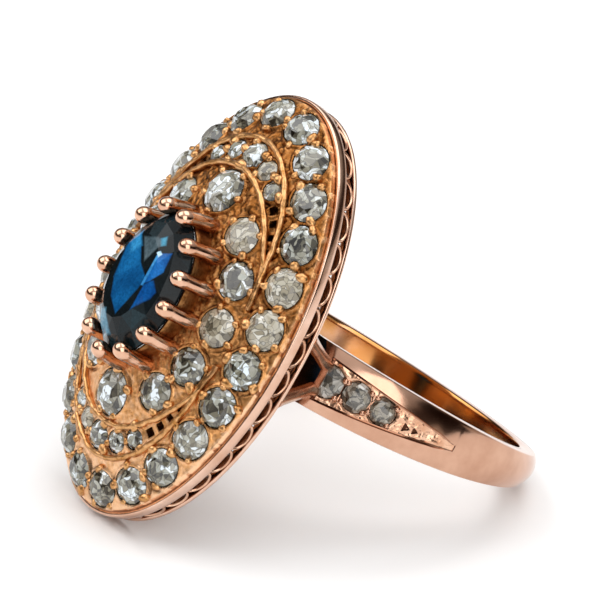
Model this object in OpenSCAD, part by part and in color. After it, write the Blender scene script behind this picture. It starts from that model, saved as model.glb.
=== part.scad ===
// Antique navette ring: a domed oval head of old-cut diamonds round a claw-set
// sapphire, on a pierced gallery and a tapering shank. All sizes in millimetres.
// The ring is drawn with the finger along Y and the head up, then laid on its side.

/* [Finger hole and shank] */
// Inside diameter of the finger hole
finger_d = 16.6; // [14:0.1:21]
// Thickness of the shank, from the finger to the outside
shank_t = 1.2; // [0.9:0.05:1.8]
// Width of the shank at the back
shank_back_w = 1.3; // [1.2:0.1:2.6]
// Width of each shoulder where it ends under the head
shoulder_w = 3.3; // [3.2:0.1:4.6]
// How far round from the back each shoulder reaches, in degrees
shoulder_turn = 144; // [138:1:147]
// Radius of the bow across the shank's outside
shank_bow = 3.6; // [2.8:0.1:8]
// Width left flat between the bevels at the shank's back
back_flat_w = 0.6; // [0.4:0.05:0.9]
// How far the bevels drop at the edges of the shank's back
back_bevel = 0.35; // [0.1:0.05:0.45]

/* [Shoulder recesses] */
// Depth of the tapering recess in each shoulder
recess_depth = 0.5; // [0.3:0.05:0.6]
// Wall left on each side of the recess at its wide end
recess_wall = 0.4; // [0.3:0.05:0.7]
// Wall left between the recess and the shoulder's end
recess_end_wall = 0.2; // [0.15:0.05:0.5]
// How far round from the back the recess runs out to a point, in degrees
recess_tail_turn = 98; // [85:1:108]
// Diameter of the largest of the three shoulder stones
shoulder_stone_d = 1.5; // [1:0.05:1.9]
// How much each following shoulder stone is smaller
shoulder_stone_step = 0.13; // [0:0.01:0.25]

/* [Head] */
// Length of the head along the finger
head_len = 22.1; // [19:0.1:26]
// Width of the head across the finger
head_wid = 14.5; // [13.8:0.1:17]
// Space between the finger hole and the head's base wire
head_stand = 1.8; // [0.6:0.05:2.4]
// Height of the plain polished rim band
band_h = 0.34; // [0.3:0.02:0.8]
// Thickness of the rim band's standing lip
lip_t = 0.15; // [0.12:0.01:0.4]
// Width of the dark channel inside the lip
channel_w = 0.1; // [0.08:0.01:0.3]
// Depth of the dark channel inside the lip
channel_depth = 0.2; // [0.1:0.05:0.25]

/* [Pierced gallery] */
// Height of the pierced arcade under the rim band
arcade_h = 0.85; // [0.6:0.05:1.2]
// Thickness of the arcade's wall
arcade_t = 0.5; // [0.4:0.05:0.8]
// How far the arcade stands in from the rim band
arcade_inset = 0.15; // [0.1:0.05:0.5]
// Thickness of the base wire under the arcade
wire_d = 0.22; // [0.2:0.02:0.5]
// Length of rim that each scallop of the arcade takes, at most
scallop_room = 1.6; // [1.3:0.05:2.4]
// Width of the metal left between the arcade's openings
arcade_bar = 0.2; // [0.14:0.02:0.3]

/* [Dome] */
// Rise of the dome above the rim
dome_rise = 2.7; // [1.8:0.1:4]
// Rise of the dome's edge above the rim
edge_rise = 0.2; // [0.1:0.05:0.8]
// Thickness of the domed plate that the stones are sunk in
dome_t = 1.1; // [1.05:0.05:1.5]
// Clearance round each small stone in its seat
seat_gap = 0.03; // [0.02:0.01:0.08]

/* [Outer row of diamonds] */
// Diameter of each outer diamond
outer_d = 1.72; // [1.1:0.02:1.8]
// Least space between two outer diamonds
outer_space = 0.38; // [0.14:0.02:0.8]
// Space between the outer diamonds and the dome's edge
outer_margin = 0.03; // [0:0.01:0.2]

/* [Inner ring of diamonds] */
// Diameter of the two large diamonds on the long axis
large_d = 2.2; // [1.4:0.05:2.4]
// Diameter of the other inner diamonds
inner_d = 1.75; // [1.2:0.05:1.85]
// Space between the claws' feet and the inner diamonds
inner_gap = 0.08; // [0.03:0.01:0.15]

/* [Crescent panels] */
// Diameter of the stone at the top of each crescent
apex_d = 1.35; // [1:0.05:1.4]
// Diameter of the first stone beside it
arm_d = 1.05; // [0.8:0.05:1.1]
// How much the second stone of each arm is smaller than the first
arm_step = 0.1; // [0:0.01:0.2]
// Space between the stones of a crescent
crescent_space = 0.2; // [0.12:0.01:0.3]
// Side of the largest small square piercing in each arm
pierce_w = 0.42; // [0.3:0.01:0.5]
// Depth of the small square piercings
pierce_depth = 0.5; // [0.3:0.05:0.8]
// Width of the raised ridges that bound the crescents
ridge_w = 0.26; // [0.15:0.01:0.4]
// Height of the raised ridges above the dome
ridge_h = 0.16; // [0.08:0.01:0.3]

/* [Sapphire and collet] */
// Length of the oval sapphire
sapphire_len = 7.2; // [5.5:0.1:7.8]
// Width of the oval sapphire
sapphire_wid = 5.1; // [4:0.1:5.4]
// Height of the sapphire's crown
crown_h = 1.05; // [0.7:0.05:1.4]
// Depth of the sapphire's pavilion
pavilion_h = 1.9; // [1.3:0.1:2.1]
// Thickness of the sapphire at its edge
girdle_t = 0.14; // [0.08:0.01:0.25]
// Height of the sapphire's edge above the top of the dome
sapphire_stand = 0.7; // [0.6:0.05:1.6]
// Number of claws
claw_count = 13; // [8:1:16]
// Thickness of each claw
claw_d = 0.56; // [0.4:0.02:0.6]
// Diameter of the ball at each claw's tip
ball_d = 0.84; // [0.5:0.02:0.9]
// Thickness of the collet wall that the claws stand on
collet_t = 0.22; // [0.18:0.02:0.3]

/* [Hidden] */
$fn = 48;
rose_gold = "#dba487";
diamond_white = "#dfe3e6";
rose_cut_grey = "#a9a9a2";
sapphire_blue = "#16407f";

finger_r = finger_d / 2;
shank_r = finger_r + shank_t;

// Heights of the head's levels above the finger's axis
wire_z = finger_r + head_stand;
arcade_z = wire_z + wire_d;
band_z = arcade_z + arcade_h;
rim_z = band_z + band_h;
dome_z = rim_z + dome_rise;
edge_z = rim_z + edge_rise;

// Half axes of the head's ovals, [across the finger, along the finger]
rim_half = [head_wid / 2, head_len / 2];
edge_half = rim_half - (lip_t + channel_w) * [1, 1];
arcade_half = rim_half - arcade_inset * [1, 1];
hollow_half = arcade_half - arcade_t * [1, 1];
outer_half = edge_half - (outer_d / 2 + outer_margin) * [1, 1];

// The dome is part of a torus: a tight bow across the finger, a long one along it
dome_drop = dome_z - edge_z;
bow_along = (edge_half[1] ^ 2 + dome_drop ^ 2) / (2 * dome_drop);
bow_across = (edge_half[0] ^ 2 + dome_drop ^ 2) / (2 * dome_drop);
bow_centre_z = dome_z - bow_along;

// Levels and half axes of the sapphire and its claws
girdle_z = dome_z + sapphire_stand;
sapphire_half = [sapphire_wid / 2, sapphire_len / 2];
sapphire_gap = 0.04;
ball_z = girdle_z + girdle_t / 2 + ball_d * 0.66;
claw_lean = 0.12;
claw_foot_half = sapphire_half + (claw_d / 2 + claw_lean) * [1, 1];
claw_tip_half = sapphire_half + 0.2 * ball_d * [1, 1];
collet_out = 0.1;
collet_half = sapphire_half + collet_out * [1, 1];
collet_top_z = girdle_z - girdle_t / 2 - 0.11 * pavilion_h;
collet_step_z = girdle_z - girdle_t / 2 - 0.3 * pavilion_h;

oval_steps = 72;
far = 60;

// Point on an oval of half axes h, at turn t from its long axis
function oval_at(h, t) = [h[0] * sin(t), h[1] * cos(t)];
// An oval's outline, with a short flat across each end of its long axis
function oval(h) = [for (i = [0:oval_steps - 1]) oval_at(h, 360 * (i + 0.5) / oval_steps)];
oval_flat = cos(180 / oval_steps);
// Outward direction of an oval at turn t
function oval_out(h, t) = let (n = [h[1] * sin(t), h[0] * cos(t)]) n / norm(n);

// Lengths round a quarter of an oval from its long axis, as [length, turn] pairs
quarter_steps = 45;
function quarter_lengths(h, i = 0, total = 0) =
    i > quarter_steps ? [] :
    let (turn = 90 * i / quarter_steps)
    let (before = oval_at(h, turn - 90 / quarter_steps))
    let (grown = i == 0 ? 0 : total + norm(oval_at(h, turn) - before))
    concat([[grown, turn]], quarter_lengths(h, i + 1, grown));
function oval_round(h) = 4 * quarter_lengths(h)[quarter_steps][0];
// Turn at a given length from the long axis, within the first quarter
function turn_at(h, length) = lookup(length, quarter_lengths(h));
// Turn at a given share of the whole way round
function even_turn(h, share) =
    let (quarter = floor(share * 4))
    let (part = share * 4 - quarter)
    let (odd = quarter % 2 == 1)
    let (turn = turn_at(h, oval_round(h) / 4 * (odd ? 1 - part : part)))
    odd ? 90 * (quarter + 1) - turn : 90 * quarter + turn;

// Height and outward direction of the dome at p = [across, along]
function dome_bow(p) = sqrt(bow_across ^ 2 - p[0] ^ 2) + bow_along - bow_across;
function dome_height(p) = bow_centre_z + sqrt(dome_bow(p) ^ 2 - p[1] ^ 2);
function dome_normal(p) =
    let (bow = dome_bow(p))
    let (lean = p[0] * bow / sqrt(bow_across ^ 2 - p[0] ^ 2))
    let (n = [lean, p[1], sqrt(bow ^ 2 - p[1] ^ 2)])
    n / norm(n);

// Places of the stones on the dome: [across, along, diameter, spin]
outer_count = 2 * floor(oval_round(outer_half) / 2 / (outer_d + outer_space));
outer_places = [for (i = [0:outer_count - 1])
    let (p = oval_at(outer_half, even_turn(outer_half, (i + 0.5) / outer_count)))
    [p[0], p[1], outer_d, 17 * i]];

inner_half = claw_foot_half + (claw_d / 2 + inner_gap) * [1, 1] + [inner_d, large_d] / 2;
inner_first_turn = 40;
inner_turns = [for (q = [0, 1], i = [0:5])
    q * 180 + (i == 0 ? 0 : inner_first_turn + (i - 1) * (180 - 2 * inner_first_turn) / 4)];
inner_places = [for (t = inner_turns)
    let (p = oval_at(inner_half, t))
    [p[0], p[1], t % 180 == 0 ? large_d : inner_d, 31 + t]];

// The crescents' middle line lies between the inner ring and the outer row
crescent_share = [0.35, 0.42];
inner_edge = inner_half + [inner_d, large_d] / 2;
outer_edge = outer_half - outer_d / 2 * [1, 1];
crescent_half = [for (i = [0, 1])
    inner_edge[i] + crescent_share[i] * (outer_edge[i] - inner_edge[i])];

// Lengths along an arm from the crescent's top to its two stones and four piercings
arm_ds = [arm_d, arm_d - arm_step];
arm_1 = (apex_d + arm_ds[0]) / 2 + crescent_space;
arm_2 = arm_1 + (arm_ds[0] + arm_ds[1]) / 2 + 1.3 * crescent_space;
arm_turns = [turn_at(crescent_half, arm_1), turn_at(crescent_half, arm_2)];
crescent_places = [for (end = [0, 180])
    each [for (k = [-2:2])
        let (turn = k == 0 ? 0 : sign(k) * arm_turns[abs(k) - 1])
        let (p = oval_at(crescent_half, end + turn))
        [p[0], p[1], k == 0 ? apex_d : arm_ds[abs(k) - 1], 12 * k]]];
pierce_count = 4;
pierce_step = pierce_w + 0.26;
pierce_shrink = 0.12;
pierce_start = arm_2 + arm_ds[1] / 2 + pierce_w / 2 + 1.8 * crescent_space;
pierce_turns = [for (k = [0:pierce_count - 1])
    turn_at(crescent_half, pierce_start + k * pierce_step)];

// Shares of a small stone's diameter: crown, edge, pavilion, and its sink in the metal
stone_crown = 0.2;
stone_girdle = 0.05;
stone_pavilion = 0.38;
stone_sink = 0.06;
seat_depth = stone_pavilion + stone_girdle + stone_sink + 0.03;

// Ring of n points of radius r at height z, turned by a share of one step
function ring(n, r, z, shift = 0, squeeze = 1) =
    [for (i = [0:n - 1])
        let (t = 360 * (i + shift) / n)
        [r * squeeze * cos(t), r * sin(t), z]];

// A faceted solid through rings of points
module cut_solid(points) {
    hull()
        polyhedron(points, [[for (i = [0:len(points) - 1]) i]]);
}

// Old-cut diamond of diameter d: its edge is at z = 0 and its table faces up
module old_cut(d) {
    r = d / 2;
    crown = stone_crown * d;
    edge = stone_girdle * d / 2;
    deep = stone_pavilion * d;
    cut_solid(concat(
        ring(8, 0.5 * r, edge + crown),
        ring(8, 0.76 * r, edge + 0.62 * crown, 0.5),
        ring(16, r, edge, 0.5),
        ring(16, r, -edge, 0.5),
        ring(8, 0.62 * r, -edge - 0.5 * deep),
        ring(8, 0.1 * r, -edge - deep)));
}

// Rose-cut diamond of diameter d: flat below, with a low faceted top
rose_depth = 0.1;
module rose_cut(d) {
    r = d / 2;
    edge = stone_girdle * d / 2;
    cut_solid(concat(
        ring(6, 0.4 * r, edge + 0.2 * d),
        ring(6, 0.78 * r, edge + 0.12 * d, 0.5),
        ring(12, r, edge, 0.5),
        ring(12, r, -edge, 0.5),
        ring(12, 0.8 * r, -edge - rose_depth * d, 0.5)));
}

// Puts its child on the dome at place = [across, along, diameter, spin]
module on_dome(place) {
    n = dome_normal(place);
    translate([place[0], place[1], dome_height(place)])
        rotate([0, acos(n[2]), atan2(n[1], n[0])])
            rotate(place[3])
                children();
}

module oval_block(h, from, to) {
    translate([0, 0, from])
        linear_extrude(to - from)
            polygon(oval(h));
}

// A straight rod between two points
module rod(from, to, d, sides = 24) {
    way = to - from;
    translate(from)
        rotate([0, acos(way[2] / norm(way)), atan2(way[1], way[0])])
            cylinder(h = norm(way), d = d, $fn = sides);
}

// The dome's torus, raised or lowered by shift
module bowed(shift) {
    translate([0, 0, bow_centre_z])
        rotate([0, 90, 0])
            rotate_extrude($fn = 180)
                intersection() {
                    translate([bow_along - bow_across, 0])
                        circle(bow_across + shift, $fn = 180);
                    translate([0, -far / 2])
                        square(far);
                }
}

// The head's domed plate and the hollow behind it

module dome_plate() {
    intersection() {
        bowed(0);
        oval_block(edge_half, band_z, dome_z + 1);
    }
}

module hollow() {
    intersection() {
        bowed(-dome_t);
        oval_block(hollow_half, wire_z - 1, dome_z);
    }
}

// Raised ridges on both sides of each crescent, which close to one line at its ends

panel_half_w = apex_d / 2 + 0.15;
panel_end_turn = 66;
ridge_end_turn = 79;
ridge_steps = 14;
function ridge_gap(t) = panel_half_w * max(0, 1 - (abs(t) / panel_end_turn) ^ 1.5);
function ridge_point(t, side, shift) =
    oval_at(crescent_half, t)
    + oval_out(crescent_half, t) * (side * ridge_gap(t) + shift);
function ridge_edge(side, shift) =
    [for (i = [-ridge_steps:ridge_steps])
        ridge_point(ridge_end_turn * i / ridge_steps, side, shift)];
function reversed(list) = [for (i = [len(list) - 1:-1:0]) list[i]];

module ridges() {
    intersection() {
        bowed(ridge_h);
        translate([0, 0, rim_z])
            linear_extrude(dome_rise + 1)
                for (end = [0, 180], side = [-1, 1])
                    rotate(end)
                        polygon(concat(
                            ridge_edge(side, ridge_w / 2),
                            reversed(ridge_edge(side, -ridge_w / 2))));
    }
}

// Seats of the stones and the small square piercings

module dome_seats() {
    for (place = concat(outer_places, inner_places, crescent_places)) {
        depth = seat_depth * place[2];
        on_dome(place)
            translate([0, 0, -depth])
                cylinder(h = depth + 1, r = place[2] / 2 + seat_gap);
    }
}

module piercings() {
    for (end = [0, 180], side = [-1, 1], k = [0:pierce_count - 1]) {
        p = oval_at(crescent_half, end + side * pierce_turns[k]);
        w = pierce_w * (1 - pierce_shrink * k);
        on_dome([p[0], p[1], 0, 0])
            translate([-w / 2, -w / 2, -pierce_depth])
                cube([w, w, pierce_depth + 1]);
    }
}

// Rim band with a standing lip, and the channel inside it

module rim_band() {
    difference() {
        oval_block(rim_half, band_z, rim_z);
        oval_block(rim_half - lip_t * [1, 1], rim_z - channel_depth, rim_z + 1);
    }
}

// Gallery: scallops that hang from the band, pierced, with three-cornered gaps between

scallop_count = 2 * round(oval_round(arcade_half) / 2 / scallop_room);
scallop_pitch = oval_round(arcade_half) / scallop_count;
arch_w = scallop_pitch * 0.58;
arch_h = arcade_h * 0.68;
arch_top = arcade_h - 0.04;
gap_top = arcade_h * 0.84;
gap_w = 2 * (scallop_pitch / 2 - arch_w * 0.22 - arcade_bar);
cutter_out = 0.3;

// Puts a flat outline on the gallery's wall at a share of the way round, cut inwards
module through_gallery(share) {
    t = even_turn(arcade_half, share);
    p = oval_at(arcade_half, t);
    out = oval_out(arcade_half, t);
    translate([p[0], p[1], arcade_z])
        rotate([0, 0, atan2(out[1], out[0]) - 90])
            rotate([90, 0, 0])
                translate([0, 0, -cutter_out])
                    linear_extrude(arcade_t + 2 * cutter_out)
                        children();
}

module gallery() {
    oval_block(arcade_half, wire_z, band_z + 0.01);
}

module gallery_cutters() {
    for (i = [0:scallop_count - 1]) {
        through_gallery((i + 0.5) / scallop_count)
            polygon([
                [-arch_w / 2, arch_top],
                [-arch_w * 0.44, arch_top - arch_h * 0.55],
                [-arch_w * 0.2, arch_top - arch_h],
                [arch_w * 0.2, arch_top - arch_h],
                [arch_w * 0.44, arch_top - arch_h * 0.55],
                [arch_w / 2, arch_top]]);
        through_gallery(i / scallop_count)
            polygon([[-gap_w / 2, 0], [gap_w / 2, 0], [0, gap_top]]);
    }
}

// Collet and claws of the sapphire

module collet() {
    oval_block(collet_half, dome_z - dome_t, collet_top_z);
}

module claws() {
    for (i = [0:claw_count - 1]) {
        t = even_turn(sapphire_half, (i + 0.5) / claw_count);
        foot = oval_at(claw_foot_half, t);
        tip = oval_at(claw_tip_half, t);
        ball = [tip[0], tip[1], ball_z];
        rod([foot[0], foot[1], dome_height(foot) - 0.3], ball, claw_d, 12);
        translate(ball)
            sphere(d = ball_d, $fn = 24);
    }
}

module sapphire_room() {
    oval_block(0.84 * sapphire_half, rim_z, girdle_z);
    oval_block(collet_half - collet_t * [1, 1], collet_step_z, girdle_z);
    oval_block(sapphire_half + sapphire_gap * [1, 1],
        collet_top_z, girdle_z + girdle_t / 2 + 0.35 * ball_d);
}

// Shank: a hoop, rounded across its outside, that tapers from the shoulders to the back

shoulder_end_z = -shank_r * cos(shoulder_turn);
function half_width_at(z) =
    shank_back_w / 2 + (shoulder_w - shank_back_w) / 2
    * (z + shank_r) / (shoulder_end_z + shank_r);

module hoop() {
    rotate([90, 0, 0])
        rotate_extrude($fn = 180)
            intersection() {
                translate([shank_r - shank_bow, 0])
                    circle(shank_bow, $fn = 180);
                translate([finger_r, -shoulder_w])
                    square([shank_t + 1, 2 * shoulder_w]);
            }
}

// A hoop with bevelled edges, set higher than the shank so that its bevels cut the
// shank's back and fade out towards the shoulders
bevel_shift = 0.9;
module bevelled_hoop() {
    r = shank_r + bevel_shift;
    reach = 3.5;
    low = r - back_bevel * (2 * reach - back_flat_w) / (shank_back_w - back_flat_w);
    translate([0, 0, bevel_shift])
        rotate([90, 0, 0])
            rotate_extrude($fn = 180)
                polygon([
                    [1, -reach],
                    [low, -reach],
                    [r, -back_flat_w / 2],
                    [r, back_flat_w / 2],
                    [low, reach],
                    [1, reach]]);
}

// A block across the whole ring with the given outline, drawn [along the finger, up]
module side_block(outline) {
    rotate([90, 0, 90])
        translate([0, 0, -far / 2])
            linear_extrude(far)
                polygon(outline);
}

module shank() {
    low = -shank_r - 1;
    intersection() {
        hoop();
        bevelled_hoop();
        side_block([
            [-half_width_at(low), low],
            [half_width_at(low), low],
            [half_width_at(shoulder_end_z), shoulder_end_z],
            [-half_width_at(shoulder_end_z), shoulder_end_z]]);
    }
}

// Recess in each shoulder, with three rose-cut stones on its floor

recess_floor_r = shank_r - recess_depth;
recess_top_z = shoulder_end_z - recess_end_wall;
recess_half_w = half_width_at(recess_top_z) - recess_wall;
recess_tail_z = -shank_r * cos(recess_tail_turn);
recess_tail_w = 0.24;

module recess() {
    intersection() {
        rotate([90, 0, 0])
            difference() {
                cylinder(h = far, r = shank_r + 2, center = true, $fn = 180);
                cylinder(h = far + 1, r = recess_floor_r, center = true, $fn = 180);
            }
        side_block([
            [-recess_half_w, recess_top_z],
            [recess_half_w, recess_top_z],
            [recess_tail_w / 2, recess_tail_z],
            [-recess_tail_w / 2, recess_tail_z]]);
    }
}

shoulder_space = 0.08;
shoulder_ds = [for (k = [0:2]) shoulder_stone_d - k * shoulder_stone_step];
// Length along the recess floor from its top to the middle of stone k
function shoulder_length(k) =
    k == 0 ? shoulder_ds[0] / 2 + shoulder_space :
    shoulder_length(k - 1) + (shoulder_ds[k - 1] + shoulder_ds[k]) / 2 + shoulder_space;
recess_top_turn = acos(-recess_top_z / recess_floor_r);
function shoulder_stone_turn(k) =
    recess_top_turn - shoulder_length(k) / recess_floor_r * 180 / PI;

module on_shoulder(side, turn) {
    rotate([0, side * (180 - turn), 0])
        translate([0, 0, recess_floor_r])
            children();
}

module shoulder_seats() {
    for (side = [-1, 1], k = [0:2]) {
        d = shoulder_ds[k];
        depth = rose_depth * d + 0.05;
        on_shoulder(side, shoulder_stone_turn(k))
            translate([0, 0, -depth])
                cylinder(h = depth + 1.5, r = d / 2 + seat_gap);
    }
}

// Small struts in a V that carry the head on the shoulders

strut_d = 0.7;
strut_spread = 0.45;
module struts() {
    top = oval_at(arcade_half - (arcade_t / 2 + 0.15) * [1, 1], 90);
    foot_r = finger_r + shank_t / 2;
    foot = foot_r * [sin(shoulder_turn), -cos(shoulder_turn)];
    for (side = [-1, 1], lean = [-1, 1])
        rod(
            [side * foot[0], lean * strut_spread, foot[1] - 0.3],
            [side * top[0], lean * shoulder_w / 2, wire_z + 0.2],
            strut_d);
}

// The soldered metal of the ring, head up

module metal_upright() {
    difference() {
        union() {
            difference() {
                union() {
                    dome_plate();
                    rim_band();
                    gallery();
                    ridges();
                }
                hollow();
                gallery_cutters();
            }
            struts();
            collet();
            claws();
            shank();
        }
        sapphire_room();
        dome_seats();
        piercings();
        recess();
        shoulder_seats();
    }
}

// The sapphire, an oval mixed cut, head up
module sapphire_upright() {
    edge = girdle_t / 2;
    half = sapphire_half[1];
    squeeze = sapphire_half[0] / sapphire_half[1];
    translate([0, 0, girdle_z])
        cut_solid(concat(
            ring(16, 0.6 * half, edge + crown_h, 0.5, squeeze),
            ring(16, 0.82 * half, edge + 0.62 * crown_h, 0, squeeze),
            ring(32, half, edge, 0.5, squeeze),
            ring(32, half, -edge, 0.5, squeeze),
            ring(16, 0.74 * half, -edge - 0.4 * pavilion_h, 0.5, squeeze),
            ring(16, 0.42 * half, -edge - 0.78 * pavilion_h, 0.5, squeeze),
            ring(16, 0.1 * half, -edge - pavilion_h, 0.5, squeeze)));
}

module diamond_at(place) {
    on_dome(place)
        translate([0, 0, -stone_sink * place[2]])
            old_cut(place[2]);
}

module shoulder_diamond_at(i) {
    k = i % 3;
    on_shoulder(i < 3 ? 1 : -1, shoulder_stone_turn(k))
        translate([0, 0, stone_girdle * shoulder_ds[k] / 2])
            rose_cut(shoulder_ds[k]);
}

// The ring lies on the end flat of the head's base wire or rim band and on the lower
// edge of the shank's back, so its tilt follows from where those are
back_drop = max(back_bevel, shank_bow - sqrt(shank_bow ^ 2 - (shank_back_w / 2) ^ 2));
back_z = -(shank_r - back_drop);
function tilt_on(reach, z) = atan2(reach - shank_back_w / 2, z - back_z);
lie_tilt = max(
    tilt_on(arcade_half[1] * oval_flat, wire_z),
    tilt_on(rim_half[1] * oval_flat, band_z));
module laid() {
    rotate([90 - lie_tilt, 0, 0])
        children();
}

function numbered(name, count) = [for (i = [1:count]) str(name, "_", i)];
INNER = numbered("inner_diamond", 12);
CRESCENT = numbered("crescent_diamond", 10);
SHOULDER = numbered("shoulder_diamond", 6);

module mount() {
    color(rose_gold)
        laid()
            metal_upright();
}

module sapphire() {
    color(sapphire_blue)
        laid()
            sapphire_upright();
}

module outer_diamonds() {
    color(diamond_white)
        laid()
            for (place = outer_places)
                diamond_at(place);
}

module inner_diamond(i) {
    color(diamond_white)
        laid()
            diamond_at(inner_places[i]);
}

module crescent_diamond(i) {
    color(diamond_white)
        laid()
            diamond_at(crescent_places[i]);
}

module shoulder_diamond(i) {
    color(rose_cut_grey)
        laid()
            shoulder_diamond_at(i);
}

mount();
sapphire();
outer_diamonds();
for (i = [0:len(INNER) - 1])
    inner_diamond(i);
for (i = [0:len(CRESCENT) - 1])
    crescent_diamond(i);
for (i = [0:len(SHOULDER) - 1])
    shoulder_diamond(i);
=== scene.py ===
import math
from itertools import product

import bmesh
import bpy
import numpy as np
from mathutils import Matrix, Vector, noise


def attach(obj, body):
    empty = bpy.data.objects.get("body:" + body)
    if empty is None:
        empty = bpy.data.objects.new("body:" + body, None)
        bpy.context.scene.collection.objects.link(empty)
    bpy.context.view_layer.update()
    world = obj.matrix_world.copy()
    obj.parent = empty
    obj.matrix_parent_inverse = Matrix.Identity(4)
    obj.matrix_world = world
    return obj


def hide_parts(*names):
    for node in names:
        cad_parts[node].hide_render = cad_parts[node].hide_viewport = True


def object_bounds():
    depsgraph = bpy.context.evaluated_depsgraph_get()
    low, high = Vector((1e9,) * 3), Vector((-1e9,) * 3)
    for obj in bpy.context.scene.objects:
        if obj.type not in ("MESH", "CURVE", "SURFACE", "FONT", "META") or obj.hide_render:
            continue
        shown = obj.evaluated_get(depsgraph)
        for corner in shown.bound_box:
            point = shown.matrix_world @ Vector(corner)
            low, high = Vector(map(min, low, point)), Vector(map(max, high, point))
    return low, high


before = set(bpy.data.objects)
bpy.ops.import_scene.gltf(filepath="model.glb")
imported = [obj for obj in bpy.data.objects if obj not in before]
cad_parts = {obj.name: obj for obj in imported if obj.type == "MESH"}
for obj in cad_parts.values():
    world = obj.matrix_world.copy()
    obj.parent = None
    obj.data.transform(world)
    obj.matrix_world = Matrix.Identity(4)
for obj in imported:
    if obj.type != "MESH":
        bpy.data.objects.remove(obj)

cad_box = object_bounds()

# ---- Shank ------------------------------------------------------------------
# A hoop of rose gold, forged and polished, flat across its shoulders and rounded
# towards its narrow back. A long recess with a stepped edge is cut in each
# shoulder for its three stones.

# Millimetres, and degrees round the hoop from its back
finger_r, shank_r, crown_r = 8.3, 9.5, 3.6
back_w, shoulder_w = 1.3, 3.3
tail_turn, shoulder_turn = 98, 144
recess_floor_r = shank_r - 0.5

# The ring lies on the lower edge of its base wire and of the shank's back
wire_end, wire_z = 10.9 * math.cos(math.radians(2.5)), 10.1
lie = math.atan2(wire_end - back_w / 2, wire_z + shank_r - 0.35)


def laid(points):
    """Millimetres with the head up, as metres with the ring on its side."""
    c, s = math.sin(lie), math.cos(lie)
    p = np.asarray(points, float).reshape(-1, 3)
    return np.c_[p[:, 0], c * p[:, 1] - s * p[:, 2], s * p[:, 1] + c * p[:, 2]] / 1000


def weave(rows, columns, closed_rows=False, closed_columns=True):
    """Four-sided faces over rows of points."""
    r = np.arange(rows if closed_rows else rows - 1)
    c = np.arange(columns if closed_columns else columns - 1)
    r, c = np.meshgrid(r, c, indexing="ij")
    r2, c2 = (r + 1) % rows, (c + 1) % columns
    quads = np.stack([r * columns + c, r * columns + c2, r2 * columns + c2, r2 * columns + c], -1)
    return quads.reshape(-1, 4).tolist()
def capped(rows, columns):
    """The faces of a tube of points, closed at both ends."""
    last = (rows - 1) * columns
    return weave(rows, columns) + [list(range(columns))[::-1], list(range(last, last + columns))]

def add_piece(name, mesh, finish, stands_for, sharp=35):
    """A finished mesh, in metres, becomes a piece of the ring."""
    bm = bmesh.new()
    bm.from_mesh(mesh)
    bmesh.ops.recalc_face_normals(bm, faces=bm.faces)
    bm.to_mesh(mesh)
    bm.free()
    mesh.materials.clear()
    mesh.materials.append(finish)
    mesh.shade_smooth()
    mesh.set_sharp_from_angle(angle=math.radians(sharp))
    made = bpy.data.objects.new(name, mesh)
    bpy.context.scene.collection.objects.link(made)
    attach(made, "root")
    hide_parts(*stands_for)
    return made


def plain_mesh(name, points, faces=(), marks=None, edges=()):
    """A mesh in metres. A mark has a number, or a direction, for every face or else every point."""
    mesh = bpy.data.meshes.new(name)
    mesh.from_pydata(np.asarray(points).tolist(), edges, faces)
    for mark, values in (marks or {}).items():
        values = np.asarray(values, np.float32)
        kind, field = ("FLOAT", "value") if values.ndim == 1 else ("FLOAT_VECTOR", "vector")
        layer = mesh.attributes.new(mark, kind, "FACE" if len(values) == len(faces) else "POINT")
        layer.data.foreach_set(field, values.ravel())
    return mesh


def mesh_of(name, points, faces, marks=None):
    """A mesh from upright millimetres."""
    return plain_mesh(name, laid(points), faces, marks)


def paint(code):
    """A colour such as d9a27f in Blender's own numbers."""
    parts = [int(code[i:i + 2], 16) / 255 for i in (0, 2, 4)]
    return [x / 12.92 if x < 0.04045 else ((x + 0.055) / 1.055) ** 2.4 for x in parts] + [1]


def feed(tree, node, inputs):
    """Each input is given a value, or another node's output to follow."""
    for name, value in inputs.items():
        if isinstance(value, bpy.types.NodeSocket):
            tree.links.new(value, node.inputs[name])
        else:
            node.inputs[name].default_value = value


def add_node(tree, kind, inputs=None, **settings):
    node = tree.nodes.new(kind)
    for name, value in settings.items():
        setattr(node, name, value)
    feed(tree, node, inputs or {})
    return node


def add_ramp(tree, level, stops):
    """Colours such as d9a27f at places along a level from 0 to 1."""
    ramp = add_node(tree, "ShaderNodeValToRGB", {"Fac": level})
    elements = ramp.color_ramp.elements
    while len(elements) < len(stops):
        elements.new(0.5)
    for element, (at, code) in zip(elements, stops):
        element.position, element.color = at, paint(code)
    return ramp.outputs["Color"]


def calc(tree, operation, *values):
    return add_node(tree, "ShaderNodeMath", dict(enumerate(values)), operation=operation).outputs[0]


def rescale(tree, value, low, high, to_low=0, to_high=1):
    ends = {"From Min": low, "From Max": high, "To Min": to_low, "To Max": to_high}
    return add_node(tree, "ShaderNodeMapRange", {"Value": value, **ends}).outputs["Result"]


def mix_colours(tree, share, first, second, blend="MIX"):
    inputs = {"Factor": share, "A": first, "B": second}
    return add_node(tree, "ShaderNodeMix", inputs, data_type="RGBA", blend_type=blend).outputs["Result"]


def read_mark(tree, name):
    return add_node(tree, "ShaderNodeAttribute", attribute_name=name).outputs["Fac"]


def clouds(tree, place, scale, detail, rough=0.5):
    inputs = {"Vector": place, "Scale": scale, "Detail": detail, "Roughness": rough}
    return add_node(tree, "ShaderNodeTexNoise", inputs)


def bumps(tree, height, strength, depth):
    inputs = {"Height": height, "Strength": strength, "Distance": depth}
    return add_node(tree, "ShaderNodeBump", inputs).outputs["Normal"]


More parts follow.
